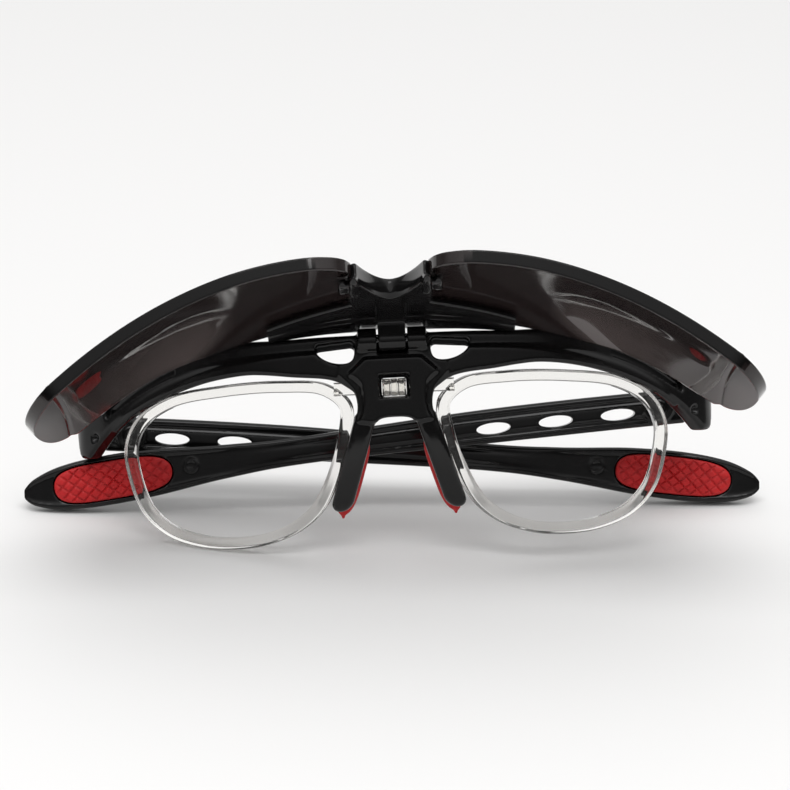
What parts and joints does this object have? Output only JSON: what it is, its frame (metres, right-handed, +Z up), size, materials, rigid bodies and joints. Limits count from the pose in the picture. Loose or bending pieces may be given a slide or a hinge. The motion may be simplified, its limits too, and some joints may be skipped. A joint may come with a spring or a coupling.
{
  "type": "flip-up sunglasses with prescription insert",
  "caption": "Folded cycling sunglasses with tinted lenses flipped up on a brow hinge, slotted temples with quilted grips, nose pads and a clear prescription insert.",
  "frame": {"origin": "middle of the box around the folded glasses, on the surface they rest on", "axes": "+X across the face towards the wearer's left side (right in the picture), +Y from the front towards the folded temples, +Z up"},
  "size_m": [0.1458, 0.0626, 0.0704],
  "materials": {
    "black_plastic": "gloss black moulding",
    "tinted_lens": "polished smoke-tinted lens plastic",
    "clear_plastic": "clear polished plastic",
    "red_rubber": "soft red rubber",
    "steel": "plain"
  },
  "bodies": {
    "front": {"main_frame": "black_plastic", "prescription_insert": "clear_plastic", "left_nose_pad": "red_rubber", "right_nose_pad": "red_rubber", "flip_pin": "steel", "left_hinge_screw": "steel", "right_hinge_screw": "steel"},
    "flip": {"flip_carrier": "black_plastic", "left_tinted_lens": "tinted_lens", "right_tinted_lens": "tinted_lens"},
    "left_arm": {"left_temple": "black_plastic", "left_grip": "red_rubber"},
    "right_arm": {"right_temple": "black_plastic", "right_grip": "red_rubber"}
  },
  "joints": [
    {"name": "flip_hinge", "type": "hinge", "parent": "front", "child": "flip", "pos_m": [-0.00218, 0.00404, 0.04222], "axis": [0.9972, 0.0135, 0.0734], "range_deg": [0, 106]},
    {"name": "left_temple_hinge", "type": "hinge", "parent": "front", "child": "left_arm", "pos_m": [0.05899, 0.02691, 0.02303], "axis": [0.0734, -0.3537, -0.9325], "range_deg": [0, 95]},
    {"name": "right_temple_hinge", "type": "hinge", "parent": "front", "child": "right_arm", "pos_m": [-0.06048, 0.0253, 0.01424], "axis": [-0.0734, 0.3537, 0.9325], "range_deg": [0, 88]}
  ]
}
